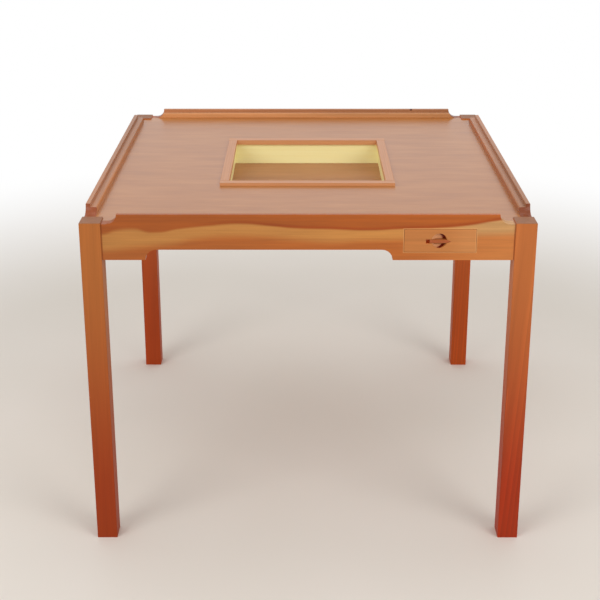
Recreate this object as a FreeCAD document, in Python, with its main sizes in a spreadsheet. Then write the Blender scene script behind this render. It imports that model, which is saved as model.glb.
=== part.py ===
"""Mahjong table: four legs, four shaped aprons that carry a raised rim, a panel with a sunk well in
its middle, and one drawer at each player's right hand.

Millimetres, +Z up. The origin is on the floor under the middle of the table. The table is the same
on its four sides: each piece is drawn for the front side and turned by quarter turns about Z.
"""
import FreeCAD, Part
import Sketcher
import math
import os

SIZES = [
    # alias, millimetres, what it is
    ("table_width", 914, "over the legs, both ways"),
    ("leg_side", 43, "square section of a leg"),
    ("top_height", 720, "floor to playing surface"),
    ("leg_rise", 3, "leg top above the playing surface"),
    ("leg_edge", 1.5, "rounding of the upright edges of a leg"),
    ("leg_chamfer", 1.2, "chamfer round the top of a leg"),
    ("top_thickness", 10, "veneered panel"),
    ("apron_setback", 3, "apron face behind the leg face"),
    ("apron_thickness", 23, "apron board"),
    ("apron_depth", 74, "rim top to lower edge, at mid-length"),
    ("end_drop", 22, "how far the ends of the lower edge step down"),
    ("short_end", 87, "stepped-down length at the left end"),
    ("long_end", 244, "stepped-down length at the right end, under the drawer"),
    ("rim_rise", 20, "rim top above the playing surface"),
    ("rim_shoulder", 12, "flat between the leg and the rim cove"),
    ("lip_width", 9, "outer lip of the rim"),
    ("cover_rebate", 7, "depth of the rebate inside the lip, for a loose cover"),
    ("rim_edge", 1, "rounding of the lip"),
    ("ledge_edge", 3, "rounding of the inner edge of the rim"),
    ("tenon_thickness", 9, "apron tenon"),
    ("tenon_length", 22, "apron tenon"),
    ("tenon_shoulder", 11, "below the apron tenon"),
    ("tenon_drop", 5.5, "top of the apron tenon below the panel"),
    ("tongue_length", 6, "panel tongue in the apron groove"),
    ("tongue_thickness", 4, "panel tongue in the apron groove"),
    ("glue_gap", 0.1, "clearance in a glued joint"),
    ("drawer_width", 144, "drawer face"),
    ("drawer_height", 48, "drawer face"),
    ("drawer_gap", 0.7, "round the drawer face"),
    ("drawer_offset", 77, "leg to drawer opening"),
    ("face_thickness", 18, "drawer face"),
    ("drawer_side_thickness", 9, "drawer side"),
    ("drawer_side_drop", 3, "top of a drawer side below the panel"),
    ("drawer_back_thickness", 8, "drawer back"),
    ("drawer_back_drop", 5, "top of the back below the top of the sides"),
    ("drawer_back_inset", 5, "back from the rear end of the sides"),
    ("drawer_bottom_thickness", 4, "drawer bottom panel"),
    ("drawer_bottom_rise", 6, "bottom panel above the lower edge of the sides"),
    ("groove_depth", 3, "grooves for the drawer bottoms and the well floor"),
    ("run_gap", 0.3, "running clearance under and behind a drawer"),
    ("tail_length", 12, "dovetail into the face"),
    ("tail_half", 5, "half the width of a tail at its root"),
    ("tail_flare", 1.5, "how much wider each side of a tail is at its tip"),
    ("scoop_radius", 15.2, "finger scoop in the drawer face"),
    ("scoop_depth", 5, "finger scoop, at its centre"),
    ("scoop_offset", 3.3, "centre of the scoop floor to the left of the face centre"),
    ("pull_reach", 21.5, "bar ends from the face centre"),
    ("pull_drop", 1.5, "bar axis below the face centre"),
    ("pull_stem", 4.2, "half height of the stem of the bar"),
    ("pull_stem_length", 10, "stem, left of the thick part of the bar"),
    ("pull_belly", 5.2, "half height of the bar where it is thickest"),
    ("pull_neck", 3.6, "half height of the bar where its point starts"),
    ("pull_point", 8.3, "pointed end of the bar"),
    ("pull_depth", 9, "bar let into the face"),
    ("pull_proud", 0.8, "bar in front of the face"),
    ("pull_edge", 1.5, "rounding of the bar"),
    ("pull_pocket", 7, "empty end of the bar slot"),
    ("runner_thickness", 12, "upright leg of a runner"),
    ("ledge_width", 9, "runner ledge under the drawer side"),
    ("ledge_thickness", 10, "runner ledge"),
    ("well_inside", 356, "between the well walls"),
    ("well_depth", 54, "playing surface to well floor"),
    ("well_wall_thickness", 8, "well wall"),
    ("well_floor_thickness", 5, "well floor"),
    ("well_skirt", 8, "well walls below the top of the floor"),
    ("frame_width", 20, "raised frame round the well"),
    ("frame_overhang", 5.5, "frame in front of the well wall"),
    ("frame_rise", 6.5, "frame above the playing surface"),
    ("frame_drop", 4.6, "frame below the playing surface"),
    ("frame_rebate", 2, "frame let into the panel"),
    ("frame_edge", 1.2, "rounding of the frame edges"),
    ("bearer_thickness", 18, "bearer"),
    ("bearer_height", 40, "bearer"),
    ("stub_length", 7, "stub tenon of a bearer"),
    ("stub_thickness", 8, "stub tenon of a bearer"),
    ("stub_shoulder", 7, "above and below the stub tenon"),
    ("block_reach", 70, "corner block along each apron"),
    ("block_height", 25, "corner block"),
    ("block_screw_inset", 26, "top screw from both aprons"),
    ("screw_radius", 2, "top screw shank"),
    ("screw_head_radius", 4, "top screw head"),
    ("screw_head_height", 3, "top screw head"),
    ("screw_bite", 6, "top screw into the panel"),
    ("hole_gap", 0.15, "clearance round a screw"),
]
SCOOP_TILT = 17          # degrees: the scoop is deepest at its right
QUARTER_TURN = 90        # degrees
SAME = 0.001             # millimetres: two points nearer than this are one
TIP_SLACK = 3            # the slot runs on past the point of the bar by this many gaps
SIDES = ["front", "right", "rear", "left"]
CORNERS = ["front_right", "rear_right", "rear_left", "front_left"]

doc = FreeCAD.newDocument("mahjong_table")
sheet = doc.addObject("Spreadsheet::Sheet", "Sizes")


class Size:
    """A length: its formula, for expressions, and its value, for drawing."""

    def __init__(self, formula, value):
        self.formula = formula
        self.value = value

    def __add__(self, other):
        other = as_size(other)
        return Size("(%s + %s)" % (self.formula, other.formula), self.value + other.value)

    def __sub__(self, other):
        other = as_size(other)
        return Size("(%s - %s)" % (self.formula, other.formula), self.value - other.value)

    def __mul__(self, factor):
        return Size("(%s * %s)" % (self.formula, factor), self.value * factor)

    def __truediv__(self, divisor):
        return Size("(%s / %s)" % (self.formula, divisor), self.value / divisor)

    def __neg__(self):
        return Size("(0 - %s)" % self.formula, -self.value)


def as_size(length):
    return length if isinstance(length, Size) else Size(str(length), length)


def fill_sheet():
    """Write the sizes to the sheet and return them by name."""
    sizes = {}
    for row, (alias, length, note) in enumerate(SIZES, start=1):
        sheet.set("A%d" % row, alias)
        sheet.set("B%d" % row, str(length))
        sheet.setAlias("B%d" % row, alias)
        sheet.set("C%d" % row, note)
        sizes[alias] = Size("Sizes." + alias, float(length))
    doc.recompute()
    return sizes


size = fill_sheet()

# Lines and levels that several pieces share, on the front side.
half_width = size["table_width"] / 2
leg_inner = half_width - size["leg_side"]
apron_face = half_width - size["apron_setback"]
apron_back = apron_face - size["apron_thickness"]
top_level = size["top_height"]
panel_under = top_level - size["top_thickness"]
rim_top = top_level + size["rim_rise"]
mid_bottom = rim_top - size["apron_depth"]
end_bottom = mid_bottom - size["end_drop"]
tenon_near = apron_face - (size["apron_thickness"] - size["tenon_thickness"]) / 2
tenon_far = tenon_near - size["tenon_thickness"]
tenon_bottom = end_bottom + size["tenon_shoulder"]
tenon_top = panel_under - size["tenon_drop"]
tongue_under = panel_under + (size["top_thickness"] - size["tongue_thickness"]) / 2
tongue_over = tongue_under + size["tongue_thickness"]

opening_right = leg_inner - size["drawer_offset"]
opening_left = opening_right - size["drawer_width"] - size["drawer_gap"] * 2
opening_bottom = panel_under - size["drawer_height"] - size["drawer_gap"] * 2
drawer_left = opening_left + size["drawer_gap"]
drawer_right = opening_right - size["drawer_gap"]
drawer_middle = (opening_left + opening_right) / 2
face_bottom = opening_bottom + size["drawer_gap"]
face_top = panel_under - size["drawer_gap"]
face_back = apron_face - size["face_thickness"]
side_bottom = opening_bottom + size["run_gap"]
side_top = panel_under - size["drawer_side_drop"]

well_half = size["well_inside"] / 2
wall_outer = well_half + size["well_wall_thickness"]
cutout_half = wall_outer + size["glue_gap"]
frame_inner = well_half - size["frame_overhang"]
frame_outer = frame_inner + size["frame_width"]
frame_bottom = top_level - size["frame_drop"]
frame_seat = top_level - size["frame_rebate"]
floor_level = top_level - size["well_depth"]
floor_under = floor_level - size["well_floor_thickness"]
floor_edge = well_half + size["groove_depth"]
bearer_inner = wall_outer + size["glue_gap"]
bearer_outer = bearer_inner + size["bearer_thickness"]
bearer_bottom = panel_under - size["bearer_height"]
stub_near = bearer_inner + (size["bearer_thickness"] - size["stub_thickness"]) / 2
stub_far = stub_near + size["stub_thickness"]
stub_bottom = bearer_bottom + size["stub_shoulder"]
stub_top = panel_under - size["stub_shoulder"]
drawer_end = bearer_outer + size["run_gap"]
bottom_under = side_bottom + size["drawer_bottom_rise"]
bottom_over = bottom_under + size["drawer_bottom_thickness"]


def new_body(label, turns):
    """An empty Body for one piece, turned to its side of the table."""
    body = doc.addObject("PartDesign::Body", label)
    body.Label = label
    turn = FreeCAD.Rotation(FreeCAD.Vector(0, 0, 1), QUARTER_TURN * turns)
    body.Placement = FreeCAD.Placement(FreeCAD.Vector(), turn)
    return body


def flat(x, y):
    return FreeCAD.Vector(x.value, y.value, 0)


class Drawing:
    """The lines of one sketch, and the sizes that its points are tied to."""

    def __init__(self, sketch):
        self.sketch = sketch
        self.ties = []
        self.formulas = []

    def hold(self, kind, spot, length):
        """Tie one point, or one radius, to a size."""
        place = (spot[0],) if kind == "Radius" else (-1, 1) + spot
        tie = Sketcher.Constraint(kind, *place, length.value)
        tie.Name = "size%d" % len(self.formulas)
        self.ties.append(tie)
        self.formulas.append((tie.Name, length.formula))

    def loop(self, points):
        """A closed loop. (x, y) starts a straight line, (x, y, cx, cy) an arc round (cx, cy)."""
        points = [tuple(as_size(number) for number in point) for point in points]
        starts = []
        ends = []
        for here, there in zip(points, points[1:] + points[:1]):
            if len(here) == 2:
                edge = self.sketch.addGeometry(Part.LineSegment(flat(*here), flat(*there[:2])))
                starts.append((edge, 1))
                ends.append((edge, 2))
            else:
                edge, anticlockwise = self.arc(flat(*here[:2]), flat(*there[:2]), flat(*here[2:]))
                starts.append((edge, 1 if anticlockwise else 2))
                ends.append((edge, 2 if anticlockwise else 1))
                self.hold("DistanceX", (edge, 3), here[2])
        for end, start in zip(ends, starts[1:] + starts[:1]):
            self.ties.append(Sketcher.Constraint("Coincident", *end, *start))
        for start, point in zip(starts, points):
            self.hold("DistanceX", start, point[0])
            self.hold("DistanceY", start, point[1])

    def arc(self, begin, finish, centre):
        """The shorter arc between two points, and whether it runs anticlockwise."""
        first, last = begin - centre, finish - centre
        anticlockwise = first.cross(last).z > 0
        if not anticlockwise:
            first, last = last, first
        circle = Part.Circle(centre, FreeCAD.Vector(0, 0, 1), first.Length)
        angles = [math.atan2(spoke.y, spoke.x) for spoke in (first, last)]
        return self.sketch.addGeometry(Part.ArcOfCircle(circle, *angles)), anticlockwise

    def circle(self, x, y, radius):
        edge = self.sketch.addGeometry(Part.Circle(flat(x, y), FreeCAD.Vector(0, 0, 1), radius.value))
        self.hold("DistanceX", (edge, 3), x)
        self.hold("DistanceY", (edge, 3), y)
        self.hold("Radius", (edge, 3), radius)

    def finish(self):
        self.sketch.addConstraint(self.ties)
        for name, formula in self.formulas:
            self.sketch.setExpression("Constraints." + name, formula)


def new_sketch(body, plane, level, loops, circles=()):
    """A sketch on a plane parallel to XY, XZ or YZ, at a level along the third axis."""
    level = as_size(level)
    sketch = body.newObject("Sketcher::SketchObject", body.Label + "_sketch")
    origin = [f for f in body.Origin.OriginFeatures if f.Role == plane + "_Plane"][0]
    sketch.AttachmentSupport = [(origin, "")]
    sketch.MapMode = "FlatFace"
    lift = -level if plane == "XZ" else level
    sketch.AttachmentOffset.Base = FreeCAD.Vector(0, 0, lift.value)
    sketch.setExpression(".AttachmentOffset.Base.z", lift.formula)
    drawing = Drawing(sketch)
    for points in loops:
        drawing.loop(points)
    for circle in circles:
        drawing.circle(*circle)
    drawing.finish()
    return sketch


def pad(body, plane, start, end, loops, circles=()):
    """Add a prism between two levels, start below end."""
    feature = body.newObject("PartDesign::Pad", body.Label + "_pad")
    extrude(feature, body, plane, start, end, loops, circles, plane == "XZ")
    return feature


def pocket(body, plane, start, end, loops=(), circles=()):
    """Cut a prism between two levels, start below end, and make sure that it cut."""
    before = body.Shape.Volume
    feature = body.newObject("PartDesign::Pocket", body.Label + "_pocket")
    extrude(feature, body, plane, start, end, loops, circles, plane != "XZ")
    if body.Shape.Volume >= before:
        raise RuntimeError(body.Label + ": a pocket cut nothing")
    return feature


def extrude(feature, body, plane, start, end, loops, circles, reverse):
    length = as_size(end) - start
    feature.Profile = new_sketch(body, plane, start, loops, circles)
    feature.Length = length.value
    feature.setExpression("Length", length.formula)
    feature.Reversed = reverse
    body.Tip = feature
    doc.recompute()


def rectangle(x0, x1, y0, y1):
    return [(x0, y0), (x1, y0), (x1, y1), (x0, y1)]


def round_edges(body, radius, chosen, kind="Fillet"):
    """Round or chamfer the edges of a body that a test on their two end points picks."""
    names = []
    for number, edge in enumerate(body.Shape.Edges, start=1):
        ends = [body.Placement.inverse().multVec(vertex.Point) for vertex in edge.Vertexes]
        if len(ends) == 2 and chosen(*ends):
            names.append("Edge%d" % number)
    base = body.Tip
    feature = body.newObject("PartDesign::" + kind, body.Label + "_" + kind.lower())
    feature.Base = (base, names)
    feature.setExpression("Radius" if kind == "Fillet" else "Size", radius.formula)
    body.Tip = feature
    doc.recompute()


def near(a, b):
    return abs(a - b) < SAME


def runs_along(a, b, y, z):
    """Whether both ends of an edge lie on the line along X at this Y and Z."""
    return all(near(end.y, y.value) and near(end.z, z.value) for end in (a, b))


def make_leg(corner, turns):
    """A square leg with two blind mortises that stop short of each other."""
    body = new_body("leg_" + corner, turns)
    top = top_level + size["leg_rise"]
    pad(body, "XY", 0, top, [rectangle(leg_inner, half_width, -half_width, -leg_inner)])
    round_edges(body, size["leg_edge"], lambda a, b: not near(a.z, b.z))
    round_edges(body, size["leg_chamfer"],
                lambda a, b: near(a.z, top.value) and near(b.z, top.value), "Chamfer")
    depth = size["tenon_length"] + size["glue_gap"]
    slack = size["glue_gap"]
    low, high = tenon_bottom - slack, tenon_top + slack
    near_side, far_side = tenon_near + slack, tenon_far - slack
    pocket(body, "YZ", leg_inner, leg_inner + depth, [rectangle(-near_side, -far_side, low, high)])
    pocket(body, "XZ", -leg_inner - depth, -leg_inner, [rectangle(far_side, near_side, low, high)])
    return body


def make_apron(side, turns):
    """One board: the coved rim above, the stepped lower edge below, the drawer opening between."""
    body = new_body("apron_" + side, turns)
    rim_end = leg_inner - size["rim_shoulder"]
    cove = size["rim_rise"]
    step = size["end_drop"]
    left_foot = -leg_inner + size["short_end"]
    right_foot = leg_inner - size["long_end"]
    outline = [
        (-leg_inner, end_bottom),
        (left_foot, end_bottom, left_foot + step, end_bottom),
        (left_foot + step, mid_bottom),
        (right_foot - step, mid_bottom, right_foot - step, end_bottom),
        (right_foot, end_bottom),
        (leg_inner, end_bottom),
        (leg_inner, top_level),
        (rim_end, top_level, rim_end, rim_top),
        (rim_end - cove, rim_top),
        (cove - rim_end, rim_top, -rim_end, rim_top),
        (-rim_end, top_level),
        (-leg_inner, top_level),
    ]
    pad(body, "XZ", -apron_face, -apron_back, [outline])
    lip = apron_face - size["lip_width"]
    ledge = rim_top - size["cover_rebate"]
    pocket(body, "XY", ledge, rim_top, [rectangle(-leg_inner, leg_inner, -lip, -apron_back)])
    round_edges(body, size["rim_edge"],
                lambda a, b: any(runs_along(a, b, -y, rim_top) for y in (apron_face, lip)))
    round_edges(body, size["ledge_edge"], lambda a, b: runs_along(a, b, -apron_back, ledge))
    tenon = [rectangle(-tenon_near, -tenon_far, tenon_bottom, tenon_top)]
    pad(body, "YZ", leg_inner, leg_inner + size["tenon_length"], tenon)
    pad(body, "YZ", -leg_inner - size["tenon_length"], -leg_inner, tenon)
    pocket(body, "XZ", -apron_face, -apron_back,
           [rectangle(opening_left, opening_right, opening_bottom, panel_under)])
    slack = size["glue_gap"]
    pocket(body, "XZ", -apron_back - size["stub_length"] - slack, -apron_back,
           [rectangle(-stub_far - slack, -stub_near + slack, stub_bottom - slack, stub_top + slack)])
    pocket(body, "XY", tongue_under - slack, tongue_over + slack,
           [rectangle(-leg_inner, leg_inner, -apron_back - size["tongue_length"] - slack, -apron_back)])
    return body


screw_spot = (apron_back - size["block_screw_inset"], -apron_back + size["block_screw_inset"])


def panel_outline(edge):
    """A square that reaches out to four aprons and is notched round four legs."""
    notch = leg_inner - size["glue_gap"]
    return [
        (-notch, -edge), (notch, -edge), (notch, -notch), (edge, -notch),
        (edge, notch), (notch, notch), (notch, edge), (-notch, edge),
        (-notch, notch), (-edge, notch), (-edge, -notch), (-notch, -notch),
    ]


def make_table_top():
    """The panel: tongued into the aprons, open over the well, drilled for the top screws."""
    body = new_body("table_top", 0)
    opening = rectangle(-cutout_half, cutout_half, -cutout_half, cutout_half)
    pad(body, "XY", panel_under, top_level, [panel_outline(apron_back), opening])
    tongue = panel_outline(apron_back + size["tongue_length"])
    pad(body, "XY", tongue_under, tongue_over, [tongue, opening])
    rebate = frame_outer + size["glue_gap"]
    pocket(body, "XY", frame_seat, top_level, [rectangle(-rebate, rebate, -rebate, rebate)])
    radius = size["screw_radius"] + size["hole_gap"]
    x, y = screw_spot
    holes = []
    for _ in CORNERS:
        holes.append((x, y, radius))
        x, y = -y, x
    depth = size["screw_bite"] + size["hole_gap"]
    pocket(body, "XY", panel_under, panel_under + depth, circles=holes)
    return body


def make_corner_block(corner, turns):
    """A three-cornered block behind the leg, with a countersunk screw hole."""
    body = new_body("corner_block_" + corner, turns)
    notch = leg_inner - size["glue_gap"]
    reach = apron_back - size["block_reach"]
    under = panel_under - size["block_height"]
    outline = [
        (reach, -apron_back), (notch, -apron_back), (notch, -notch),
        (apron_back, -notch), (apron_back, -reach),
    ]
    pad(body, "XY", under, panel_under, [outline])
    radius = size["screw_radius"] + size["hole_gap"]
    pocket(body, "XY", under, panel_under, circles=[screw_spot + (radius,)])
    countersink(body, *screw_spot, under, size["screw_head_radius"], radius,
                size["screw_head_height"])
    return body


def countersink(body, x, y, level, wide, narrow, height):
    """A cone cut upwards into the underside of a body."""
    cone = body.newObject("PartDesign::SubtractiveCone", body.Label + "_countersink")
    origin = [f for f in body.Origin.OriginFeatures if f.Role == "XY_Plane"][0]
    cone.AttachmentSupport = [(origin, "")]
    cone.MapMode = "FlatFace"
    wide = wide + size["hole_gap"]
    for prop, length in (("Radius1", wide), ("Radius2", narrow), ("Height", height)):
        cone.setExpression(prop, length.formula)
    for axis, length in (("x", x), ("y", y), ("z", level)):
        cone.setExpression(".AttachmentOffset.Base." + axis, length.formula)
    body.Tip = cone
    doc.recompute()


def make_frame_member(side, turns, full):
    """A strip of the raised frame: a flange let into the panel and a nose that hangs in its opening."""
    body = new_body("well_frame_" + side, turns)
    flange_end = frame_outer if full else frame_inner
    nose_end = wall_outer if full else frame_inner
    pad(body, "XY", frame_seat, top_level + size["frame_rise"],
        [rectangle(-flange_end, flange_end, -frame_outer, -frame_inner)])
    top = (top_level + size["frame_rise"]).value
    round_edges(body, size["frame_edge"],
                lambda a, b: near(a.z, top) and near(b.z, top) and near(a.y, b.y))
    pad(body, "XY", frame_bottom, frame_seat,
        [rectangle(-nose_end, nose_end, -wall_outer, -frame_inner)])
    return body


def make_well_wall(side, turns):
    """A pale wall of the well, grooved for the floor. Each wall butts on the next one."""
    body = new_body("well_wall_" + side, turns)
    pad(body, "XY", floor_level - size["well_skirt"], frame_bottom,
        [rectangle(-wall_outer, well_half, -wall_outer, -well_half)])
    slack = size["glue_gap"]
    groove_end = floor_edge + slack
    pocket(body, "XY", floor_under - slack, floor_level + slack,
           [rectangle(-groove_end, well_half, -groove_end, -well_half)])
    return body


def make_well_floor():
    """The floor panel, in the grooves of the four walls."""
    body = new_body("well_floor", 0)
    pad(body, "XY", floor_under, floor_level,
        [rectangle(-floor_edge, floor_edge, -floor_edge, floor_edge)])
    return body


def make_bearer(side, turns):
    """A rail beside the well: one stub tenon in an apron, the other in the next bearer."""
    body = new_body("bearer_" + side, turns)
    pad(body, "XY", bearer_bottom, panel_under,
        [rectangle(-bearer_inner, apron_back, -bearer_outer, -bearer_inner)])
    stub = [rectangle(-stub_far, -stub_near, stub_bottom, stub_top)]
    pad(body, "YZ", apron_back, apron_back + size["stub_length"], stub)
    pad(body, "YZ", -bearer_inner - size["stub_length"], -bearer_inner, stub)
    slack = size["glue_gap"]
    pocket(body, "XZ", -bearer_inner - size["stub_length"] - slack, -bearer_inner,
           [rectangle(stub_near - slack, stub_far + slack, stub_bottom - slack, stub_top + slack)])
    return body


def make_runner(side, turns, hand):
    """An L-shaped rail: an upright beside the drawer and a ledge under its side."""
    body = new_body("%s_runner_%s" % (side, hand), turns)
    ledge_top = opening_bottom
    ledge_under = ledge_top - size["ledge_thickness"]
    if hand == "left":
        inner, outer = opening_left, opening_left - size["runner_thickness"]
        toe = inner + size["ledge_width"]
    else:
        inner, outer = opening_right, opening_right + size["runner_thickness"]
        toe = inner - size["ledge_width"]
    profile = [(outer, ledge_under), (toe, ledge_under), (toe, ledge_top),
               (inner, ledge_top), (inner, panel_under), (outer, panel_under)]
    pad(body, "XZ", -apron_back, -bearer_outer, [profile])
    return body


def tail(height, slack):
    """One dovetail of a drawer side, seen from the side, as Y and Z."""
    root = -face_back
    tip = -face_back - size["tail_length"] - slack
    root_half = size["tail_half"] + slack
    tip_half = root_half + size["tail_flare"]
    return [(root, height - root_half), (root, height + root_half),
            (tip, height + tip_half), (tip, height - tip_half)]


def tail_heights():
    quarter = (side_top - side_bottom) / 4
    return [side_bottom + quarter, side_top - quarter]


def make_drawer_face(side, turns):
    """The face: dovetail sockets, a groove for the bottom, and the carved finger pull."""
    body = new_body(side + "_drawer_face", turns)
    pad(body, "XZ", -apron_face, -face_back,
        [rectangle(drawer_left, drawer_right, face_bottom, face_top)])
    slack = size["glue_gap"]
    side_depth = size["drawer_side_thickness"] + slack
    for height in tail_heights():
        socket = [tail(height, slack)]
        pocket(body, "YZ", drawer_left, drawer_left + side_depth, socket)
        pocket(body, "YZ", drawer_right - side_depth, drawer_right, socket)
    inner_left = drawer_left + size["drawer_side_thickness"] - size["groove_depth"]
    inner_right = drawer_right - size["drawer_side_thickness"] + size["groove_depth"]
    pocket(body, "XZ", -face_back - size["groove_depth"] - slack, -face_back,
           [rectangle(inner_left, inner_right, bottom_under - slack, bottom_over + slack)])
    carve_pull(body)
    return body


def bar_outline(slack, pocket_length):
    """The bar seen from the front: a stem, a belly that tapers, and a point at the right."""
    height = (face_bottom + face_top) / 2 - size["pull_drop"]
    stem_end = drawer_middle - size["pull_reach"] + size["pull_stem_length"] - slack
    left = drawer_middle - size["pull_reach"] - pocket_length
    right = drawer_middle + size["pull_reach"]
    shoulder = right - size["pull_point"]
    lower = [(left, -size["pull_stem"] - slack), (stem_end, -size["pull_stem"] - slack),
             (stem_end, -size["pull_belly"] - slack), (shoulder, -size["pull_neck"] - slack)]
    upper = [(x, -y) for x, y in reversed(lower)]
    tip = (right + slack * TIP_SLACK, as_size(0))
    return [(x, height + y) for x, y in lower + [tip] + upper]


def carve_pull(body):
    """A round scoop with a sloping floor, and the slot that the bar is let into."""
    scoop = body.newObject("PartDesign::SubtractiveCylinder", body.Label + "_scoop")
    origin = [f for f in body.Origin.OriginFeatures if f.Role == "XZ_Plane"][0]
    scoop.AttachmentSupport = [(origin, "")]
    scoop.MapMode = "FlatFace"
    lean = FreeCAD.Rotation(FreeCAD.Vector(0, 1, 0), SCOOP_TILT)
    scoop.AttachmentOffset = FreeCAD.Placement(FreeCAD.Vector(), lean)
    centre = drawer_middle - size["scoop_offset"]
    height = (face_bottom + face_top) / 2
    for axis, length in (("x", centre), ("y", height), ("z", apron_face - size["scoop_depth"])):
        scoop.setExpression(".AttachmentOffset.Base." + axis, length.formula)
    scoop.setExpression("Radius", size["scoop_radius"].formula)
    scoop.setExpression("Height", (size["scoop_depth"] + size["scoop_radius"]).formula)
    body.Tip = scoop
    doc.recompute()
    pocket(body, "XZ", -apron_face, -apron_face + size["pull_depth"],
           [bar_outline(size["glue_gap"], size["pull_pocket"])])


def make_pull(side, turns):
    """The bar, let into the face across its scoop."""
    body = new_body(side + "_drawer_pull", turns)
    front = -apron_face - size["pull_proud"]
    pad(body, "XZ", front, -apron_face + size["pull_depth"],
        [bar_outline(as_size(0), as_size(0))])
    round_edges(body, size["pull_edge"],
                lambda a, b: near(a.y, front.value) and near(b.y, front.value))
    return body


def make_drawer_side(side, turns, hand):
    """A drawer side: two tails in front, a groove for the bottom and a housing for the back."""
    body = new_body("%s_drawer_side_%s" % (side, hand), turns)
    thickness = size["drawer_side_thickness"]
    groove = size["groove_depth"]
    slack = size["glue_gap"]
    if hand == "left":
        outer, inner = drawer_left, drawer_left + thickness
        cut_from, cut_to = inner - groove - slack, inner
    else:
        outer, inner = drawer_right - thickness, drawer_right
        cut_from, cut_to = outer, outer + groove + slack
    pad(body, "YZ", outer, inner, [rectangle(-face_back, -drawer_end, side_bottom, side_top)])
    for height in tail_heights():
        pad(body, "YZ", outer, inner, [tail(height, as_size(0))])
    tip = -face_back - size["tail_length"]
    pocket(body, "YZ", cut_from, cut_to,
           [rectangle(tip, -drawer_end, bottom_under - slack, bottom_over + slack)])
    back_end = -drawer_end - size["drawer_back_inset"]
    back_start = back_end - size["drawer_back_thickness"]
    pocket(body, "YZ", cut_from, cut_to,
           [rectangle(back_start - slack, back_end + slack, bottom_over, side_top)])
    return body


def make_drawer_back(side, turns):
    """The back stands on the bottom panel, housed in both sides."""
    body = new_body(side + "_drawer_back", turns)
    reach = size["drawer_side_thickness"] - size["groove_depth"]
    back_end = -drawer_end - size["drawer_back_inset"]
    pad(body, "XY", bottom_over + size["glue_gap"], side_top - size["drawer_back_drop"],
        [rectangle(drawer_left + reach, drawer_right - reach,
                   back_end - size["drawer_back_thickness"], back_end)])
    return body


def make_drawer_bottom(side, turns):
    """The bottom panel slides in grooves, under the back and into the face."""
    body = new_body(side + "_drawer_bottom", turns)
    reach = size["drawer_side_thickness"] - size["groove_depth"]
    pad(body, "XY", bottom_under, bottom_over,
        [rectangle(drawer_left + reach, drawer_right - reach,
                   -face_back - size["groove_depth"], -drawer_end - size["drawer_back_inset"])])
    return body


def make_top_screws():
    """The countersunk screws that hold the corner blocks to the panel, all as one piece."""
    level = (panel_under - size["block_height"]).value
    length = (size["block_height"] + size["screw_bite"]).value
    radius = size["screw_radius"].value
    x, y = (spot.value for spot in screw_spot)
    screws = []
    for _ in CORNERS:
        place = FreeCAD.Vector(x, y, level)
        head = Part.makeCone(size["screw_head_radius"].value, radius,
                             size["screw_head_height"].value, place)
        shank = Part.makeCylinder(radius, length, place)
        screws.append(head.fuse(shank).removeSplitter())
        x, y = -y, x
    feature = doc.addObject("Part::Feature", "top_screws")
    feature.Label = "top_screws"
    feature.Shape = Part.makeCompound(screws)
    feature.Placement = FreeCAD.Placement()
    return feature


def build():
    pieces = [make_table_top(), make_well_floor()]
    for turns, (side, corner) in enumerate(zip(SIDES, CORNERS)):
        pieces.append(make_leg(corner, turns))
        pieces.append(make_apron(side, turns))
        pieces.append(make_corner_block(corner, turns))
        pieces.append(make_frame_member(side, turns, side in ("front", "rear")))
        pieces.append(make_well_wall(side, turns))
        pieces.append(make_bearer(side, turns))
        for hand in ("left", "right"):
            pieces.append(make_runner(side, turns, hand))
            pieces.append(make_drawer_side(side, turns, hand))
        pieces.append(make_drawer_face(side, turns))
        pieces.append(make_pull(side, turns))
        pieces.append(make_drawer_back(side, turns))
        pieces.append(make_drawer_bottom(side, turns))
    pieces.append(make_top_screws())
    return pieces


def check(pieces):
    """Stop if any object failed to compute, or any piece has no sound shape."""
    for item in doc.Objects:
        if "Invalid" in item.State or "Error" in item.State:
            raise RuntimeError("%s is %s" % (item.Label, item.State))
    for piece in pieces:
        if piece.Shape.isNull() or not piece.Shape.isValid():
            raise RuntimeError(piece.Label + " has no valid shape")


pieces = build()
doc.recompute()
check(pieces)
os.makedirs("parts", exist_ok=True)
for piece in pieces:
    piece.Shape.exportStep(os.path.join("parts", piece.Label + ".step"))
print(len(pieces), "pieces written")
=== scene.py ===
"""A square mahjong table in lacquered cherry: four legs, four shaped aprons, a veneered top with a
sunk well, and a drawer on each side. Lengths are in metres.
"""
import math
import bpy
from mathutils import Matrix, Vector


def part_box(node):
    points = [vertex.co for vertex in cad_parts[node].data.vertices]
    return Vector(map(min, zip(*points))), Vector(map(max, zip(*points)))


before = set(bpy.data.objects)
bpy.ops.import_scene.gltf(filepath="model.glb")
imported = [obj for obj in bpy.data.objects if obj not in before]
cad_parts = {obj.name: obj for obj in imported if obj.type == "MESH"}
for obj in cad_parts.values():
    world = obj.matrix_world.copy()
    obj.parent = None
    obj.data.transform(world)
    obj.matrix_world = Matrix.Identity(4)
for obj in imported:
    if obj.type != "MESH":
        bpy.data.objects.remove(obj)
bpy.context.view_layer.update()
bpy.ops.object.select_all(action="DESELECT")


# Legs
# Each leg is one square stick of solid cherry, planed and brushed with a satin lacquer. Its top
# shows end grain. Towards the foot it is darker and redder: partly the wood, partly painted shade.

def channels(colour):
    """The red, green and blue of an sRGB hex colour, from 0 to 255."""
    return [int(colour[i:i + 2], 16) for i in (1, 3, 5)]


def linear(colour):
    """An sRGB hex colour as the linear RGBA that a shader takes."""
    shares = [c / 255 for c in channels(colour)]
    return [s / 12.92 if s <= 0.04045 else ((s + 0.055) / 1.055) ** 2.4 for s in shares] + [1]


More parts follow.
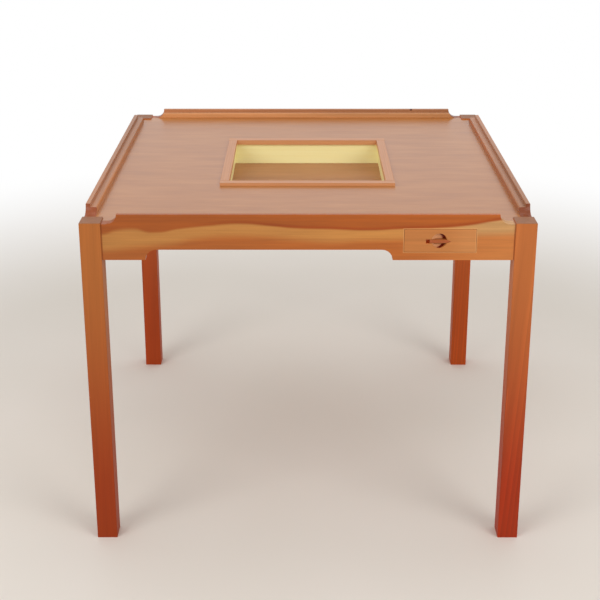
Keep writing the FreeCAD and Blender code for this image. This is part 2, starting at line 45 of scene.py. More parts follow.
def add(tree, kind, settings={}, inputs={}):
    """Add a node with its settings, and give each input a value or link it to a socket."""
    node = tree.nodes.new(kind)
    for name, value in settings.items():
        setattr(node, name, value)
    for name, value in inputs.items():
        if isinstance(value, bpy.types.NodeSocket):
            tree.links.new(value, node.inputs[name])
        else:
            node.inputs[name].default_value = value
    return node


def new_finish(name, roughness, bump, colour, gloss=0.5, coat=0.0, metallic=0.0):
    """A material with one Principled shader. Constants go on the shader's own sockets."""
    material = bpy.data.materials.new(name)
    material.use_nodes = True
    tree = material.node_tree
    tree.nodes.clear()
    place = add(tree, "ShaderNodeTexCoord").outputs["Object"]
    shader = add(tree, "ShaderNodeBsdfPrincipled", {}, {
        "Metallic": metallic, "IOR": 1.5, "Specular IOR Level": gloss,
        "Coat Weight": coat, "Coat Roughness": 0.2,
        "Base Color": colour(tree, place), "Roughness": roughness(tree, place),
        "Normal": bump(tree, place)})
    add(tree, "ShaderNodeOutputMaterial", {}, {"Surface": shader.outputs[0]})
    return material


def along_grain(tree, place, turn, pith=(0, 0, 0)):
    """Object coordinates turned so that X runs along the board, measured from its pith."""
    return add(tree, "ShaderNodeMapping", {"vector_type": "TEXTURE"},
               {"Vector": place, "Location": pith, "Rotation": turn}).outputs[0]


RING_DRIFT = 0.06                # how fast the rings change along a board, against across it
WAVE_LENGTH = 2 * math.pi / 20   # of a wave texture at scale 1


def growth_rings(tree, board, spacing, waviness):
    """Rings round the pith: pale early wood that deepens to a thin line of late wood. They are
    drawn as wide as they need to be to show."""
    slow = add(tree, "ShaderNodeVectorMath", {"operation": "MULTIPLY"},
               {0: board, 1: (RING_DRIFT, 1, 1)}).outputs[0]
    return add(tree, "ShaderNodeTexWave",
               {"wave_type": "RINGS", "rings_direction": "X", "wave_profile": "SAW"},
               {"Vector": slow, "Scale": WAVE_LENGTH / spacing, "Distortion": waviness,
                "Detail": 3.0, "Detail Scale": 0.12}).outputs["Fac"]


def streaks(tree, board, width, length, detail=3.0):
    """Noise drawn out along the grain, with marks of this width and length."""
    drawn = add(tree, "ShaderNodeVectorMath", {"operation": "MULTIPLY"},
                {0: board, 1: (1 / length, 1 / width, 1 / width)}).outputs[0]
    return add(tree, "ShaderNodeTexNoise", {},
               {"Vector": drawn, "Scale": 1.0, "Detail": detail, "Roughness": 0.55}).outputs[0]


def blend_of(tree, parts):
    """The sum of several patterns, each with its weight, about a middle of 0.5."""
    total = None
    for pattern, weight in parts:
        share = add(tree, "ShaderNodeMath", {"operation": "MULTIPLY_ADD"},
                    {0: pattern, 1: weight, 2: -0.5 * weight if total else 0.5 - 0.5 * weight})
        if total:
            share = add(tree, "ShaderNodeMath", {"operation": "ADD"},
                        {0: total, 1: share.outputs[0]})
        total = share.outputs[0]
    return total


def tones(tree, figure, colours, places=(0.2, 0.5, 0.8)):
    """The colours that a figure runs through, from its dark lines to its light wood."""
    ramp = add(tree, "ShaderNodeValToRGB", {}, {"Fac": figure})
    stops = ramp.color_ramp.elements
    while len(stops) < len(colours):
        stops.new(0.5)
    for stop, place, colour in zip(stops, places, colours):
        stop.position = place
        stop.color = linear(colour)
    return ramp.outputs[0]


def shades(colour, contrast):
    """A colour between a darker and a lighter one."""
    return ["#%02X%02X%02X" % tuple(min(255, round(c * (1 + shift))) for c in channels(colour))
            for shift in (-contrast, 0, contrast)]


def change(tree, measure, start, end, before, after, course="SMOOTHSTEP", most=1.0):
    """One colour giving way to the next, in part or in full, as a measure goes from start to end."""
    amount = add(tree, "ShaderNodeMapRange", {"interpolation_type": course},
                 {"Value": measure, "From Min": start, "From Max": end, "To Max": most}).outputs[0]
    return add(tree, "ShaderNodeMix", {"data_type": "RGBA"},
               {0: amount, 6: before, 7: after}).outputs[2]


def satin(turn, pith=(0, 0, 0), low=0.30, high=0.42):
    """Brushed satin lacquer: gloss that changes a little along the brush marks, 3 mm apart."""
    def roughness(tree, place):
        marks = streaks(tree, along_grain(tree, place, turn, pith), 0.003, 0.09)
        return add(tree, "ShaderNodeMapRange", {},
                   {"Value": marks, "To Min": low, "To Max": high}).outputs[0]
    return roughness


def open_grain(turn, pith=(0, 0, 0), strength=0.12):
    """The pores of the wood, as fine grooves along the board. Real ones are about 0.1 mm wide:
    these are drawn 0.9 mm apart, so that they show."""
    def bump(tree, place):
        board = along_grain(tree, place, turn, pith)
        return add(tree, "ShaderNodeBump", {},
                   {"Height": streaks(tree, board, 0.0009, 0.03, 2.0), "Strength": strength,
                    "Distance": 0.0002}).outputs[0]
    return bump


LEGS = {  # pith beside the stick, slant of the grain, colours at top and foot, weight of the rings
    "front_left": ((-0.475, -0.50, 0), 0.01, "#AE652C", "#963404", 0.08),
    "front_right": ((0.395, -0.49, 0), 0.06, "#BE6C34", "#A12E06", 0.30),
    # The rear legs have lighter, redder tones than the front ones: painted light standing in for
    # warm light bounced under the table.
    "rear_right": ((0.49, 0.41, 0), 0.03, "#C66C32", "#B2480E", 0.24),
    "rear_left": ((-0.42, 0.51, 0), 0.02, "#C0642E", "#AA3E0A", 0.24),
}
END_GRAIN = "#936346"
LEG_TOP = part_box("leg_front_left")[1][2]
FOOT_SHADE_TOP = 0.08                    # a leg has the full colour of its foot, partly painted shade, up to this height
END_GRAIN_EDGE = (0.0016, 0.0004)     # below the top: where end grain begins, and where it is full


def lacquered_cherry_leg(corner):
    """Solid cherry, planed: fine upright streaks, redder towards the foot partly as painted shade,
    dull end grain on top.
    """
    pith, slant, top_colour, foot_colour, rings = LEGS[corner]
    turn = (0, math.pi / 2 + slant, 0)

    def colour(tree, place):
        board = along_grain(tree, place, turn, pith)
        figure = blend_of(tree, [(growth_rings(tree, board, 0.008, 5.0), rings),
                                 (streaks(tree, board, 0.011, 0.45), 0.5),
                                 (streaks(tree, board, 0.002, 0.06), 0.2)])
        height = add(tree, "ShaderNodeSeparateXYZ", {}, {0: place}).outputs[2]
        # Painted shade: darker and redder from the top down to the foot, partly the wood's own
        # colour.
        long_grain = change(tree, height, FOOT_SHADE_TOP, LEG_TOP,
                            tones(tree, figure, shades(foot_colour, 0.11)),
                            tones(tree, figure, shades(top_colour, 0.09)))
        begins, full = [LEG_TOP - below for below in END_GRAIN_EDGE]
        return change(tree, height, begins, full, long_grain,
                      tones(tree, figure, shades(END_GRAIN, 0.10)))
    return new_finish("lacquered_cherry_leg_" + corner, satin(turn, pith, 0.46, 0.58),
                      open_grain(turn, pith), colour, gloss=0.25)


def wear(node, material):
    """Give a piece of the frame its finish."""
    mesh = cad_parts[node].data
    mesh.materials.clear()
    mesh.materials.append(material)


for corner in LEGS:
    wear("leg_" + corner, lacquered_cherry_leg(corner))


# Aprons
# Each side is one wide cherry board on edge: the raised rim is cut from it above, the stepped lower
# edge below. A dark heartwood band runs along the top over a pale wave of sapwood.

SIDES = {"front": 0, "right": 1, "rear": 2, "left": 3}      # quarter turns from the front
LEG_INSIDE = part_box("leg_front_right")[0][0]
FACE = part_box("apron_front")[0][1]
RIM_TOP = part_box("apron_front")[1][2]
TOP_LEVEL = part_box("table_top")[1][2]
LIP_BACK = FACE + 0.009          # the back of the rim's outer lip
LEDGE = RIM_TOP - 0.007          # the bottom of the rebate behind that lip
COVE, COVE_RADIUS = (LEG_INSIDE - 0.012, 0, RIM_TOP), 0.020     # the hollow at each end of a rim
FACE_LOW, FACE_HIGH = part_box("front_drawer_face")
DRAWER_GAP = 0.0007              # round a drawer face
OPENING_MIDDLE = [(low + high) / 2 for low, high in zip(FACE_LOW, FACE_HIGH)]
OPENING_HALF = [(high - low) / 2 + DRAWER_GAP for low, high in zip(FACE_LOW, FACE_HIGH)]

LINE_HALF, LINE_FOOT, LINE_RISE = 0.46, 0.64, 0.10      # the field that the lines are drawn in
BAND_DRIFT = 0.004               # how far the bands stray above and below their lines
# Shares of a board's length, from its left-hand end
TO_RIGHT = (0.68, 0.92)          # the hue changes to that of the right-hand end
LATE_COMES = (0.15, 0.50)        # the dark line between the bands comes in
FIRM_UP = (0.10, 0.22)           # the border firms up from its soft left-hand end
# Heights over a line
PALE_EDGE = (-0.010, 0.012)      # the wood below gives way to the pale band
SOFT_FOOT, FIRM_FOOT = -0.010, -0.0045      # the dark line begins, where the border is soft or firm
LATE_FULL = 0.001                # the dark line is full
HEART_EDGE = (0.0005, 0.008)     # it gives way to heartwood
# Widths of small features
ABOVE_TOP = 0.001                # over the playing surface, to the full colour of a rim's inside
LIP_EDGE = (0.0003, 0.0007)      # behind the lip
STRIP_FOOT, STRIP_FULL = -0.0025, 0.0005    # from the ledge, to the colour of a rim's top
CUT_EDGE = (0.0003, 0.0009)      # outside the cove
OPENING_HIGHLIGHT = (0.0020, 0.0008)   # from the opening: where the painted highlight begins, and where it is full
HIGHLIGHT_DEPTH = 0.0007               # behind a face
JOINT_EDGE = (0.0032, 0.0012)    # from the leg
KNOT_EDGE = (0.0016, 0.0042)     # from the middle of the knot

HEARTWOOD, SIDE_HEART = "#A7551B", "#A8572C"
SAPWOOD = ("#C08140", "#BB8B57")       # at mid-length, and at the right-hand end
SIDE_SAP = ("#BD7A42", "#C88C4E")
UNDERWOOD = ("#AF5F25", "#B87037")
LATE_WOOD = "#9A440F"    # the dark line where heartwood meets sapwood
SIDE_STRIP = "#AC7450"   # the top of a rim at the left or the right
CUT_END = "#8E4A2A"      # end grain in the cove
ARRIS_HIGHLIGHT = "#E3A468"       # painted highlight where an arris catches the light
JOINT = "#8A3E0C"        # the shaded line beside a leg
KNOT = "#5E2A14"


def side_turn(side):
    """The turn about Z that brings a side's board round to the front."""
    return (0, 0, SIDES[side] * math.pi / 2)


def square_on(tree, board):
    """A point of a board as seen square on, by its place along the board and its height."""
    return add(tree, "ShaderNodeVectorMath", {"operation": "MULTIPLY"},
               {0: board, 1: (1, 0, 1)}).outputs[0]


def highlighted_arris(tree, depth, wood, arris_light):
    """A painted highlight on the very front of a face, and plain wood behind it."""
    on_face = add(tree, "ShaderNodeMath", {"operation": "LESS_THAN"},
                  {0: depth, 1: HIGHLIGHT_DEPTH}).outputs[0]
    return add(tree, "ShaderNodeMix", {"data_type": "RGBA"},
               {0: on_face, 6: wood, 7: arris_light}).outputs[2]


def lacquered_cherry_apron(side, heart_line, pale_line, heart, pale, top_strip=None, inside=None,
                           knot=None):
    """Solid cherry, flat sawn: the bands wave along the board and shift hue where they meet."""
    turn = side_turn(side)

    def colour(tree, place):
        board = along_grain(tree, place, turn)
        along, out, height = add(tree, "ShaderNodeSeparateXYZ", {}, {0: board}).outputs
        reach = add(tree, "ShaderNodeMapRange", {},
                    {"Value": along, "From Min": -LINE_HALF, "From Max": LINE_HALF}).outputs[0]
        drift = add(tree, "ShaderNodeMapRange", {},
                    {"Value": streaks(tree, board, 0.03, 0.25),
                     "To Min": -BAND_DRIFT, "To Max": BAND_DRIFT}).outputs[0]
        level = add(tree, "ShaderNodeMath", {"operation": "ADD"}, {0: height, 1: drift}).outputs[0]
        fine = blend_of(tree, [(streaks(tree, board, 0.006, 0.30), 0.6),
                               (streaks(tree, board, 0.018, 0.14), 0.45),
                               (streaks(tree, board, 0.0018, 0.07), 0.35),
                               (reach, 0.5)])

        def height_over(line):
            """How far a point lies above a line drawn along the board."""
            curve = add(tree, "ShaderNodeFloatCurve", {}, {"Value": reach})
            points = curve.mapping.curves[0].points
            while len(points) < len(line):
                points.new(0.5, 0.5)
            for point, (x, z) in zip(points, line):
                point.location = (x / (2 * LINE_HALF) + 0.5, (z - LINE_FOOT) / LINE_RISE)
            curve.mapping.update()
            edge = add(tree, "ShaderNodeMath", {"operation": "MULTIPLY_ADD"},
                       {0: curve.outputs[0], 1: LINE_RISE, 2: LINE_FOOT}).outputs[0]
            return add(tree, "ShaderNodeMath", {"operation": "SUBTRACT"},
                       {0: level, 1: edge}).outputs[0]

        def tone(hue):
            return tones(tree, fine, shades(hue, 0.09))

        # The bands
        over_heart = height_over(heart_line)
        under_wood, pale_wood = [change(tree, reach, *TO_RIGHT, tone(near), tone(far))
                                 for near, far in (UNDERWOOD, pale)]
        sapwood = change(tree, height_over(pale_line), *PALE_EDGE, under_wood, pale_wood)
        late = change(tree, reach, *LATE_COMES, tone(heart), tone(LATE_WOOD))
        line_foot = add(tree, "ShaderNodeMapRange", {},
                        {"Value": reach, "From Min": FIRM_UP[0], "From Max": FIRM_UP[1],
                         "To Min": SOFT_FOOT, "To Max": FIRM_FOOT}).outputs[0]
        edge_line = change(tree, over_heart, line_foot, LATE_FULL, sapwood, late)
        wood = change(tree, over_heart, *HEART_EDGE, edge_line, tone(heart))

        # The inside, the top and the cut ends of the rim
        if inside:
            above = change(tree, height, TOP_LEVEL, TOP_LEVEL + ABOVE_TOP, wood, tone(inside))
            wood = change(tree, out, LIP_BACK + LIP_EDGE[0], LIP_BACK + LIP_EDGE[1], wood, above)
        if top_strip:
            wood = change(tree, height, LEDGE + STRIP_FOOT, LEDGE + STRIP_FULL,
                          wood, tone(top_strip))
            either_end = add(tree, "ShaderNodeVectorMath", {"operation": "ABSOLUTE"},
                             {0: square_on(tree, board)}).outputs[0]
            from_cove = add(tree, "ShaderNodeVectorMath", {"operation": "DISTANCE"},
                            {0: either_end, 1: COVE}).outputs["Value"]
            wood = change(tree, from_cove, COVE_RADIUS + CUT_EDGE[0], COVE_RADIUS + CUT_EDGE[1],
                          tone(CUT_END), wood)

        # The painted highlight on the arris round the drawer opening
        beyond = add(tree, "ShaderNodeVectorMath", {"operation": "SUBTRACT"},
                     {0: board, 1: OPENING_MIDDLE}).outputs[0]
        beyond = add(tree, "ShaderNodeVectorMath", {"operation": "ABSOLUTE"},
                     {0: beyond}).outputs[0]
        beyond = add(tree, "ShaderNodeVectorMath", {"operation": "SUBTRACT"},
                     {0: beyond, 1: OPENING_HALF}).outputs[0]
        beside, _, above = add(tree, "ShaderNodeSeparateXYZ", {}, {0: beyond}).outputs
        from_opening = add(tree, "ShaderNodeMath", {"operation": "MAXIMUM"},
                           {0: beside, 1: above}).outputs[0]
        depth = add(tree, "ShaderNodeMath", {"operation": "SUBTRACT"}, {0: out, 1: FACE}).outputs[0]
        wood = highlighted_arris(tree, depth, wood, change(tree, from_opening, *OPENING_HIGHLIGHT,
                                                      wood, linear(ARRIS_HIGHLIGHT), "LINEAR", 0.55))

        # The shaded joint with each leg, and the knot
        from_middle = add(tree, "ShaderNodeMath", {"operation": "ABSOLUTE"}, {0: along}).outputs[0]
        wood = change(tree, from_middle, LEG_INSIDE - JOINT_EDGE[0], LEG_INSIDE - JOINT_EDGE[1],
                      wood, linear(JOINT), "LINEAR", 0.7)
        if knot:
            from_knot = add(tree, "ShaderNodeVectorMath", {"operation": "DISTANCE"},
                            {0: square_on(tree, board), 1: knot}).outputs["Value"]
            wood = change(tree, from_knot, *KNOT_EDGE, tone(KNOT), wood)
        return wood
    return new_finish("lacquered_cherry_apron_" + side, satin(turn), open_grain(turn), colour,
                      gloss=0.28)


def ease(node, width):
    """Take the sharp arrises off a piece, as a few strokes of a fine plane do."""
    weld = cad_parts[node].modifiers.new("one_skin", "WELD")
    weld.merge_threshold = 0.00001
    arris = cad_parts[node].modifiers.new("eased_arris", "BEVEL")
    arris.width = width
    arris.segments = 2
    arris.limit_method = "ANGLE"
    arris.angle_limit = math.radians(35)
    arris.harden_normals = True


# Each line is a list of places along the board and heights.
FRONT_HEART = [(-0.46, 0.696), (-0.405, 0.7045), (-0.38, 0.7125), (-0.35, 0.7145),
               (-0.31, 0.706), (-0.26, 0.713), (-0.20, 0.719), (-0.14, 0.7225), (-0.08, 0.718),
               (-0.02, 0.712), (0.04, 0.7115), (0.13, 0.710), (0.19, 0.713), (0.26, 0.715),
               (0.31, 0.719), (0.37, 0.729), (0.46, 0.745)]
FRONT_PALE = [(-0.46, 0.658), (-0.36, 0.669), (-0.27, 0.679), (-0.22, 0.689), (-0.16, 0.694),
              (-0.10, 0.6925), (-0.02, 0.687), (0.05, 0.683), (0.10, 0.686), (0.17, 0.688),
              (0.25, 0.694), (0.46, 0.700)]
wear("apron_front", lacquered_cherry_apron("front", FRONT_HEART, FRONT_PALE, HEARTWOOD, SAPWOOD))
wear("apron_right", lacquered_cherry_apron(
    "right", [(-0.46, 0.700), (-0.2, 0.704), (0.05, 0.716), (0.25, 0.711), (0.46, 0.702)],
    [(-0.46, 0.660), (-0.2, 0.668), (0.05, 0.684), (0.25, 0.676), (0.46, 0.662)],
    SIDE_HEART, SIDE_SAP, top_strip=SIDE_STRIP, inside="#B46832"))
wear("apron_rear", lacquered_cherry_apron(
    "rear", [(-0.46, 0.704), (-0.25, 0.700), (0.0, 0.690), (0.2, 0.694), (0.46, 0.706)],
    [(-0.46, 0.668), (-0.25, 0.664), (0.0, 0.652), (0.2, 0.655), (0.46, 0.668)],
    HEARTWOOD, SAPWOOD, top_strip="#B67B54", inside="#D29460", knot=(-0.2815, 0, 0.7395)))
wear("apron_left", lacquered_cherry_apron(
    "left", [(-0.46, 0.690), (-0.22, 0.700), (0.0, 0.709), (0.2, 0.722), (0.46, 0.716)],
    [(-0.46, 0.642), (-0.22, 0.655), (0.0, 0.676), (0.2, 0.690), (0.46, 0.680)],
    SIDE_HEART, SIDE_SAP, top_strip=SIDE_STRIP, inside="#BC7840"))
for side in SIDES:
    ease("apron_" + side, 0.0005)


# Top
# The playing surface is a panel faced with sliced cherry veneer, its grain from left to right. It
# is tongued into the aprons all round and lacquered satin.

LEVEL = (0, 0, 0)        # the turn of a board whose grain runs from left to right


def veneer(name, colours, pith=(0, 0, 0), coat=0.2, low=0.26, high=0.36):
    """Sliced veneer under satin lacquer: broad soft clouds and long fine streaks along the leaf."""
    def colour(tree, place):
        leaf = along_grain(tree, place, LEVEL, pith)
        figure = blend_of(tree, [(streaks(tree, leaf, 0.04, 0.17, 4.0), 0.9),
                                 (streaks(tree, leaf, 0.007, 0.25), 0.3),
                                 (streaks(tree, leaf, 0.0022, 0.09), 0.3)])
        return tones(tree, figure, colours)
    return new_finish(name, satin(LEVEL, pith, low, high), open_grain(LEVEL, pith, 0.08),
                      colour, coat=coat)


wear("table_top", veneer("lacquered_cherry_veneer", ("#9F5F29", "#AD6C33", "#BA7A41")))


# Well frame
# Four cherry strips edge the well: the front and rear ones run through and the side ones butt
# between them. They stand proud of the top with rounded edges.

ACROSS = (0, 0, math.pi / 2)      # the turn of a board whose grain runs from front to rear
PLAIN = (0.2, 0.5, 0.85)          # where the tones of a quiet figure lie
STRIP = ("#B0703F", "#C07E4C", "#CC8B59")
STRIP_SIDE_LIGHT = "#D59766"
STRIP_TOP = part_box("well_frame_front")[1][2]
STRIP_EDGE = (0.0005, 0.0020)     # below the top: where the painted light on the side begins, and where it is full
STRIPS = {  # turn of the grain, and pith beside the strip
    "front": (LEVEL, (0, -0.22, 0.68)),
    "rear": (LEVEL, (0, 0.16, 0.68)),
    "left": (ACROSS, (-0.22, 0, 0.69)),
    "right": (ACROSS, (0.23, 0, 0.69)),
}


def lacquered_cherry_strip(side):
    """Narrow planed cherry: straight streaks under satin lacquer, with painted light down its sides.
    """
    turn, pith = STRIPS[side]

    def colour(tree, place):
        board = along_grain(tree, place, turn, pith)
        figure = blend_of(tree, [(growth_rings(tree, board, 0.004, 2.0), 0.2),
                                 (streaks(tree, board, 0.004, 0.25), 0.6),
                                 (streaks(tree, board, 0.0015, 0.05), 0.25)])
        height = add(tree, "ShaderNodeSeparateXYZ", {}, {0: place}).outputs[2]
        begins, full = [STRIP_TOP - below for below in STRIP_EDGE]
        # Painted light: the sides below the top are paler than the top.
        return change(tree, height, begins, full, tones(tree, figure, STRIP, PLAIN),
                      tones(tree, figure, shades(STRIP_SIDE_LIGHT, 0.05)), "LINEAR")
    return new_finish("lacquered_cherry_strip_" + side, satin(turn, pith), open_grain(turn, pith),
                      colour, coat=0.1)


for side in STRIPS:
    wear("well_frame_" + side, lacquered_cherry_strip(side))
    ease("well_frame_" + side, 0.0004)


# Well
# The sunk tray has four pale maple walls and a cherry veneered floor set in their grooves.

# Pale maple, lifted nearly to white: partly the wood, partly painted light falling into the well.
MAPLE_AND_LIGHT = ("#FAF1A8", "#FFF9B8", "#FFFCC6")


def clear_maple(name, turn):
    """Maple with a clear satin finish: close pale grain, hardly any figure, its tones lifted by
    painted light.
    """
    def colour(tree, place):
        board = along_grain(tree, place, turn)
        figure = blend_of(tree, [(streaks(tree, board, 0.012, 0.5, 2.0), 0.5),
                                 (streaks(tree, board, 0.003, 0.12), 0.35)])
        return tones(tree, figure, MAPLE_AND_LIGHT, PLAIN)
    return new_finish(name, satin(turn, low=0.38, high=0.48), open_grain(turn, strength=0.06),
                      colour)


maple_across = clear_maple("clear_maple_across", LEVEL)
maple_along = clear_maple("clear_maple_along", ACROSS)
for side in SIDES:
    wear("well_wall_" + side, maple_across if side in ("front", "rear") else maple_along)
wear("well_floor", veneer("lacquered_cherry_floor", ("#9C6236", "#AA6E42", "#B67A4E"),
                          pith=(0.1, 0.37, 0), coat=0.1, low=0.34, high=0.44))


# Drawers
# Each drawer has a cherry face flush with its apron, dovetailed to plain pale sides, with a back
# and a thin plywood bottom. It slides on ledges behind the apron.

FACE_WOOD = ("#BC763E", "#C78249")                # at the left, and at the right
FACE_TO_RIGHT = (0.265, 0.325)                    # between these places along the board
FACE_HIGHLIGHT = (0.0021, 0.0009)                       # from the right-hand end of a face: where the painted highlight begins, and where it is full
SCOOP = (OPENING_MIDDLE[0] - 0.0033, 0, OPENING_MIDDLE[2])      # middle of the scoop
SCOOP_RIM = 0.0156                                # just outside the radius of the scoop
SCOOP_DEPTHS = (0.0065, 0.0060)                   # middle and half of its range behind the face
# Painted highlight on the scoop's shallow side, and painted shade in its deep crescent.
SCOOP_HIGHLIGHT, SCOOP_SHADE = "#D09062", "#7A1E08"
SHALLOW = (SCOOP[0] - 0.006, 0, SCOOP[2])         # the painted shade is a crescent outside a ring round this
SCOOP_SHADE_EDGE = (0.0144, 0.0158)
PULL_LOW, PULL_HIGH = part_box("front_drawer_pull")
SLOT = (PULL_LOW[0] - 0.0033, 0.0045)             # middle and half of the empty end of the slot
SLOT_DEPTHS = (0.0060, 0.0055)
SLOT_LIGHT = "#DC6420"


def lacquered_cherry_face(side):
    """Planed cherry face: close level grain, and a scoop with a painted highlight and a crescent of
    painted shade.
    """
    turn = side_turn(side)
    pith = (0, 0, 0.60)

    def colour(tree, place):
        grain = along_grain(tree, place, turn, pith)
        figure = blend_of(tree, [(growth_rings(tree, grain, 0.006, 1.5), 0.22),
                                 (streaks(tree, grain, 0.005, 0.22), 0.5),
                                 (streaks(tree, grain, 0.0018, 0.05), 0.3)])
        board = along_grain(tree, place, turn)
        along, out, _ = add(tree, "ShaderNodeSeparateXYZ", {}, {0: board}).outputs
        depth = add(tree, "ShaderNodeMath", {"operation": "SUBTRACT"}, {0: out, 1: FACE}).outputs[0]
        left, right = [tones(tree, figure, shades(hue, 0.08)) for hue in FACE_WOOD]
        wood = change(tree, along, *FACE_TO_RIGHT, left, right)

        # The scoop: a painted highlight, and painted shade in a crescent where it is deep
        from_scoop, from_shallow = [
            add(tree, "ShaderNodeVectorMath", {"operation": "DISTANCE"},
                {0: square_on(tree, board), 1: spot}).outputs["Value"] for spot in (SCOOP, SHALLOW)]
        within = add(tree, "ShaderNodeMath", {"operation": "LESS_THAN"},
                     {0: from_scoop, 1: SCOOP_RIM}).outputs[0]
        hollow = add(tree, "ShaderNodeMath", {"operation": "COMPARE"},
                     {0: depth, 1: SCOOP_DEPTHS[0], 2: SCOOP_DEPTHS[1]}).outputs[0]
        in_scoop = add(tree, "ShaderNodeMath", {"operation": "MULTIPLY"},
                       {0: within, 1: hollow}).outputs[0]
        scoop_light_and_shade = change(tree, from_shallow, *SCOOP_SHADE_EDGE, linear(SCOOP_HIGHLIGHT), linear(SCOOP_SHADE))
        wood = add(tree, "ShaderNodeMix", {"data_type": "RGBA"},
                   {0: in_scoop, 6: wood, 7: scoop_light_and_shade}).outputs[2]

        # The empty end of the slot, tinted lighter and redder as painted light in its shaded pit.
        # Its tint has no bound in height, so it also marks the upper and lower edges of the face
        # there.
        beside = add(tree, "ShaderNodeMath", {"operation": "COMPARE"},
                     {0: along, 1: SLOT[0], 2: SLOT[1]}).outputs[0]
        behind = add(tree, "ShaderNodeMath", {"operation": "COMPARE"},
                     {0: depth, 1: SLOT_DEPTHS[0], 2: SLOT_DEPTHS[1]}).outputs[0]
        in_slot = add(tree, "ShaderNodeMath", {"operation": "MULTIPLY"},
                      {0: beside, 1: behind}).outputs[0]
        wood = add(tree, "ShaderNodeMix", {"data_type": "RGBA"},
                   {0: in_slot, 6: wood, 7: linear(SLOT_LIGHT)}).outputs[2]
        # Painted highlight along the right-hand arris of the face.
        arris_light = change(tree, along, FACE_HIGH[0] - FACE_HIGHLIGHT[0], FACE_HIGH[0] - FACE_HIGHLIGHT[1],
                      wood, linear(ARRIS_HIGHLIGHT), "LINEAR", 0.5)
        return highlighted_arris(tree, depth, wood, arris_light)
    return new_finish("lacquered_cherry_face_" + side, satin(turn, pith), open_grain(turn, pith),
                      colour, gloss=0.25)


BAR_CREST, BAR_FLANK_SHADE = "#A8552C", "#9A5424"
CREST = (PULL_LOW[2] + PULL_HIGH[2]) / 2          # height of the middle of the bar
FLANK_EDGE = (0.0012, 0.0042)                     # above and below it: where the painted shade of the flanks begins, and where it is full


def cherry_pull_painted_light(side):
    """The inlaid bar: closer cherry, with a painted highlight along its crest and painted shade on
    its flanks.
    """
    turn = side_turn(side)
    pith = (0, 0, 0.66)

    def colour(tree, place):
        board = along_grain(tree, place, turn, pith)
        figure = blend_of(tree, [(streaks(tree, board, 0.003, 0.05), 0.7),
                                 (streaks(tree, board, 0.001, 0.02), 0.3)])
        height = add(tree, "ShaderNodeSeparateXYZ", {}, {0: place}).outputs[2]
        over_crest = add(tree, "ShaderNodeMath", {"operation": "SUBTRACT"},
                         {0: height, 1: CREST}).outputs[0]
        off_crest = add(tree, "ShaderNodeMath", {"operation": "ABSOLUTE"},
                        {0: over_crest}).outputs[0]
        # Painted shade on the flanks of the bar, paler along its crest.
        return change(tree, off_crest, *FLANK_EDGE, tones(tree, figure, shades(BAR_CREST, 0.08)),
                      tones(tree, figure, shades(BAR_FLANK_SHADE, 0.10)))
    return new_finish("cherry_pull_painted_light_" + side, satin(turn, pith, 0.26, 0.36),
                      open_grain(turn, pith, 0.08), colour, gloss=0.25)


def unlacquered(name, turn, colours):
    """Wood planed or waxed, without lacquer: duller, with short flecks along the grain."""
    def colour(tree, place):
        board = along_grain(tree, place, turn)
        figure = blend_of(tree, [(streaks(tree, board, 0.008, 0.25), 0.5),
                                 (streaks(tree, board, 0.0014, 0.008), 0.35)])
        return tones(tree, figure, colours, PLAIN)
    return new_finish(name, satin(turn, low=0.48, high=0.58), open_grain(turn, strength=0.1),
                      colour)


BEECH = ("#C79A66", "#D6AC78", "#E0BA88")
PLY = ("#C99E6B", "#D9B27F", "#E3C092")
beech_across = unlacquered("waxed_beech_across", LEVEL, BEECH)
beech_along = unlacquered("waxed_beech_along", ACROSS, BEECH)
ply_across = unlacquered("birch_ply_across", LEVEL, PLY)
ply_along = unlacquered("birch_ply_along", ACROSS, PLY)
for side in SIDES:
    facing = side in ("front", "rear")
    wear(side + "_drawer_face", lacquered_cherry_face(side))
    ease(side + "_drawer_face", 0.0005)
    wear(side + "_drawer_pull", cherry_pull_painted_light(side))
    for hand in ("left", "right"):
        wear(side + "_drawer_side_" + hand, beech_along if facing else beech_across)
    wear(side + "_drawer_back", beech_across if facing else beech_along)
    wear(side + "_drawer_bottom", ply_across if facing else ply_along)


# Underframe
# Bearers beside the well, L-shaped drawer runners and screwed corner blocks are plain planed
# hardwood without lacquer. The screws are zinc-plated steel.

RAW = ("#A9794E", "#B9895C", "#C5976A")
raw_across = unlacquered("planed_hardwood_across", LEVEL, RAW)
raw_along = unlacquered("planed_hardwood_along", ACROSS, RAW)
for side in SIDES:
    facing = side in ("front", "rear")
    wear("bearer_" + side, raw_across if facing else raw_along)
    for hand in ("left", "right"):
        wear("%s_runner_%s" % (side, hand), raw_along if facing else raw_across)
for corner in LEGS:
    wear("corner_block_" + corner, raw_across)


def mottled(size, low, high):
    """Gloss that changes from spot to spot, with spots of this size."""
    def roughness(tree, place):
        return add(tree, "ShaderNodeMapRange", {},
                   {"Value": streaks(tree, place, size, size),
                    "To Min": low, "To Max": high}).outputs[0]
    return roughness


def uneven_skin(size, strength, relief):
    """The slight waviness that plating and paint have."""
    def bump(tree, place):
        return add(tree, "ShaderNodeBump", {},
                   {"Height": streaks(tree, place, size, size), "Strength": strength,
                    "Distance": relief}).outputs[0]
    return bump


def zinc_plate(tree, place):
    """Bright zinc plating with a faint cloudy tarnish."""
    cloud = add(tree, "ShaderNodeTexNoise", {}, {"Vector": place, "Scale": 300.0}).outputs[0]
    return tones(tree, cloud, ("#A8A9A6", "#C4C5C2"), (0.3, 0.7))


wear("top_screws", new_finish("zinc_plated_steel", mottled(0.0004, 0.3, 0.45),
                              uneven_skin(0.0003, 0.05, 0.0001), zinc_plate, metallic=1.0))


# Studio
# A plain pale floor that fades to white, two big soft lamps in front and one overhead, and a white
# surround.

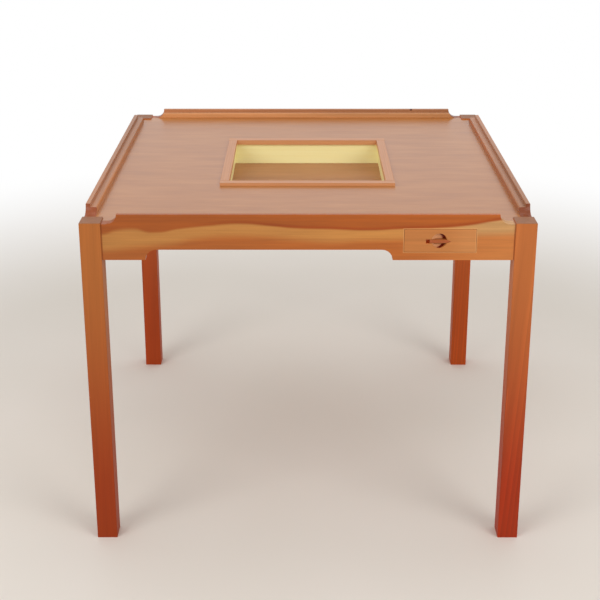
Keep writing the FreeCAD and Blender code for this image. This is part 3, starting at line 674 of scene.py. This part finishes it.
FADE = (1.1, 2.6)        # from the middle: where the floor starts to whiten, and where it is white
bpy.ops.mesh.primitive_plane_add(size=40, location=(0, 0, 0))
floor = bpy.context.object
floor.name = "studio_floor"


def pale_floor(tree, place):
    """Matt painted floor, faintly warm."""
    cloud = add(tree, "ShaderNodeTexNoise", {},
                {"Vector": place, "Scale": 1.5, "Detail": 2.0}).outputs[0]
    return tones(tree, cloud, ("#E6DFD5", "#EAE3DA"), (0.3, 0.7))


def seen_rays(tree):
    """1 for rays that show a surface, from the camera or in a gloss, and 0 for rays that light."""
    ray = add(tree, "ShaderNodeLightPath").outputs
    seen = add(tree, "ShaderNodeMath", {"operation": "MAXIMUM"},
               {0: ray["Is Camera Ray"], 1: ray["Is Glossy Ray"]}).outputs[0]
    return add(tree, "ShaderNodeMath", {"operation": "MAXIMUM"},
               {0: seen, 1: ray["Is Transmission Ray"]}).outputs[0]


paint = new_finish("matt_floor_paint", mottled(0.2, 0.85, 0.9), uneven_skin(0.01, 0.02, 0.0005),
                   pale_floor)
tree = paint.node_tree
distance = add(tree, "ShaderNodeVectorMath", {"operation": "LENGTH"},
               {0: tree.nodes["Texture Coordinate"].outputs["Object"]}).outputs["Value"]
fade = add(tree, "ShaderNodeMapRange", {"interpolation_type": "SMOOTHSTEP"},
           {"Value": distance, "From Min": FADE[0], "From Max": FADE[1]}).outputs[0]
fade = add(tree, "ShaderNodeMath", {"operation": "MULTIPLY"},
           {0: fade, 1: seen_rays(tree)}).outputs[0]
white = add(tree, "ShaderNodeEmission", {}, {"Color": (1, 1, 1, 1), "Strength": 1.0})
surface = add(tree, "ShaderNodeMixShader", {}, {
    0: fade, 1: tree.nodes["Principled BSDF"].outputs[0], 2: white.outputs[0]})
tree.links.new(surface.outputs[0], tree.nodes["Material Output"].inputs["Surface"])
floor.data.materials.append(paint)

LAMP_WIDTH = 2.4
LAMP_AIM = (0, 0, 0.5)


def soft_lamp(name, spot, power):
    """A round lamp at this spot, turned to the middle of the table."""
    lamp = bpy.data.lights.new(name, "AREA")
    lamp.shape = "DISK"
    lamp.size = LAMP_WIDTH
    lamp.energy = power
    holder = bpy.data.objects.new(name, lamp)
    bpy.context.scene.collection.objects.link(holder)
    holder.location = spot
    toward = [a - s for a, s in zip(LAMP_AIM, spot)]
    flat = math.hypot(toward[0], toward[1])
    holder.rotation_euler = (math.pi / 2 + math.atan2(toward[2], flat), 0,
                             math.atan2(-toward[0], toward[1]))


soft_lamp("lamp_left", (-2.6, -2.9, 2.9), 51)
soft_lamp("lamp_right", (2.6, -2.9, 2.9), 51)
soft_lamp("lamp_above", (0, 0.8, 3.6), 14)

world = bpy.data.worlds.new("white_surround")
bpy.context.scene.world = world
world.use_nodes = True
sky = world.node_tree
sky.nodes.clear()
glow = add(sky, "ShaderNodeMapRange", {},
           {"Value": seen_rays(sky), "To Min": 0.62, "To Max": 1.0}).outputs[0]
background = add(sky, "ShaderNodeBackground", {}, {"Color": (1, 1, 1, 1), "Strength": glow})
add(sky, "ShaderNodeOutputWorld", {}, {"Surface": background.outputs[0]})

camera = bpy.data.cameras.new("camera")
camera.sensor_width = 36
camera.lens = 72.65
camera.shift_y = -0.125
viewer = bpy.data.objects.new("camera", camera)
bpy.context.scene.collection.objects.link(viewer)
viewer.location = (-0.0145, -2.7352, 1.4975)
viewer.rotation_euler = (math.radians(90 - 18.853), 0, math.radians(0.042))
bpy.context.scene.camera = viewer
bpy.context.scene.view_settings.view_transform = "Standard"
